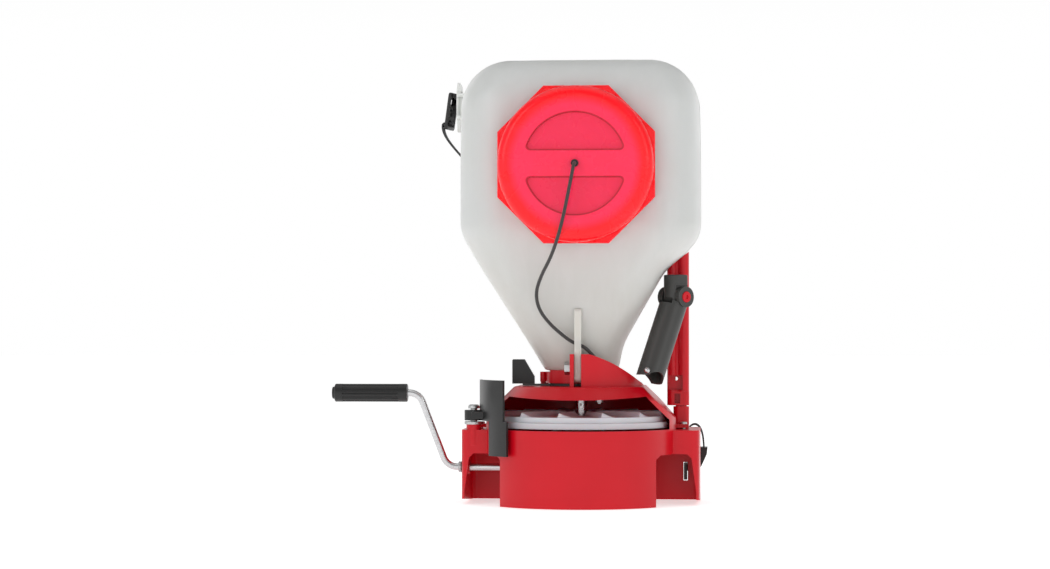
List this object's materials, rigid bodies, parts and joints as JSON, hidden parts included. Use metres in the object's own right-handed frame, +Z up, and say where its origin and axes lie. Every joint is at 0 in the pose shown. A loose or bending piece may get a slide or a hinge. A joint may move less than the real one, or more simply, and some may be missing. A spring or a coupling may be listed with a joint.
{
  "type": "handheld salt spreader",
  "caption": "Hand-held salt and grit spreader: translucent hopper with a screw cap, hand crank turning an impeller, red housing, shoulder strap and side handle.",
  "frame": {"origin": "where the impeller's axis meets the plane that the base and the gear case cover stand on", "axes": "+Z up along the impeller's axis, +X towards the side handle, away from the crank, +Y towards the carrier, away from the discharge mouth"},
  "size_m": [0.433, 0.2742, 0.509],
  "materials": {
    "red_plastic": "satin injection-moulded red plastic",
    "hopper_plastic": "translucent natural white blow-moulded polyethylene",
    "cap_red": "bright red glossy injection-moulded plastic",
    "dark_plastic": "dark grey moulded plastic",
    "black_plastic": "black moulded plastic",
    "grey_plastic": "mid grey glass-filled plastic",
    "bearing_plastic": "off-white acetal",
    "impeller_plastic": "light grey injection-moulded plastic",
    "rubber": "black sealing rubber",
    "rod_steel": "drawn steel rod, zinc plated",
    "zinc_steel": "zinc-plated fastener steel",
    "tether_cord": "black braided cord",
    "webbing": "black woven webbing"
  },
  "bodies": {
    "frame": {"base_housing": "red_plastic", "top_housing": "red_plastic", "hopper": "hopper_plastic", "hopper_collar": "red_plastic", "outlet_seal": "rubber", "cap_tether": "tether_cord", "tether_knot": "tether_cord", "fin_bolt": "zinc_steel", "fin_nut": "zinc_steel", "housing_screws": "zinc_steel", "collar_screws": "zinc_steel", "gear_case": "grey_plastic", "gear_case_cover": "grey_plastic", "case_screws": "zinc_steel", "cover_screws": "zinc_steel", "crank_bushes": "black_plastic", "shaft_bush": "bearing_plastic", "gate_stop_screw": "zinc_steel", "gate_stop_nut": "zinc_steel", "baffle_bolt": "zinc_steel", "baffle_washer": "zinc_steel", "baffle_nut": "zinc_steel", "upright_post": "red_plastic", "post_screw": "zinc_steel", "bracket_screws": "zinc_steel", "handle_clevis": "dark_plastic", "handle_pin": "rod_steel", "pin_caps": "red_plastic", "shoulder_strap": "webbing", "strap_slider": "black_plastic", "strap_hook": "black_plastic"},
    "crank": {"crank_rod": "rod_steel", "crown_wheel": "bearing_plastic", "crown_pin": "zinc_steel", "crank_stop_ring": "zinc_steel"},
    "grip": {"crank_grip": "black_plastic", "grip_end_plug": "black_plastic"},
    "impeller": {"impeller_disc": "impeller_plastic", "impeller_shaft": "rod_steel", "pinion": "bearing_plastic", "pinion_pin": "zinc_steel", "impeller_pin": "zinc_steel", "shaft_coupling": "rod_steel", "coupling_pin": "zinc_steel", "agitator": "rod_steel"},
    "gate": {"gate_plate": "dark_plastic", "gate_lever": "black_plastic", "lever_rivets": "zinc_steel"},
    "baffle": {"baffle": "black_plastic"},
    "cap_swivel": {"tether_button": "black_plastic"},
    "cap": {"cap": "cap_red", "cap_gasket": "rubber"},
    "handle": {"folding_handle": "dark_plastic", "handle_latch_button": "rod_steel"}
  },
  "joints": [
    {"name": "crank_spin", "type": "hinge", "parent": "frame", "child": "crank", "pos_m": [0, 0, 0.0414], "axis": [1, 0, 0], "continuous": true},
    {"name": "grip_spin", "type": "hinge", "parent": "crank", "child": "grip", "pos_m": [-0.244, 0, 0.1264], "axis": [1, 0, 0], "continuous": true},
    {"name": "impeller_spin", "type": "hinge", "parent": "frame", "child": "impeller", "pos_m": [0, 0, 0.09], "axis": [0, 0, 1], "continuous": true},
    {"name": "gate_turn", "type": "hinge", "parent": "frame", "child": "gate", "pos_m": [0, 0, 0.1365], "axis": [0, 0, 1], "range_deg": [0, 45]},
    {"name": "baffle_swing", "type": "hinge", "parent": "frame", "child": "baffle", "pos_m": [-0.122, -0.017, 0.1], "axis": [0, 0, -1], "range_deg": [0, 45]},
    {"name": "cap_lift", "type": "slide", "parent": "frame", "child": "cap_swivel", "axis": [0, -1, 0], "range_m": [0, 0.06], "deforming": ["cap_tether"]},
    {"name": "cap_turn", "type": "hinge", "parent": "cap_swivel", "child": "cap", "pos_m": [0, -0.118, 0.384], "axis": [0, -1, 0], "range_deg": [0, 360]},
    {"name": "handle_fold", "type": "hinge", "parent": "frame", "child": "handle", "pos_m": [0.109, -0.012, 0.2367], "axis": [0.7071, -0.7071, 0], "range_deg": [0, 85]}
  ],
  "couplings": [
    {"joint": "impeller_spin", "follows": "crank_spin", "ratio": 3}
  ]
}
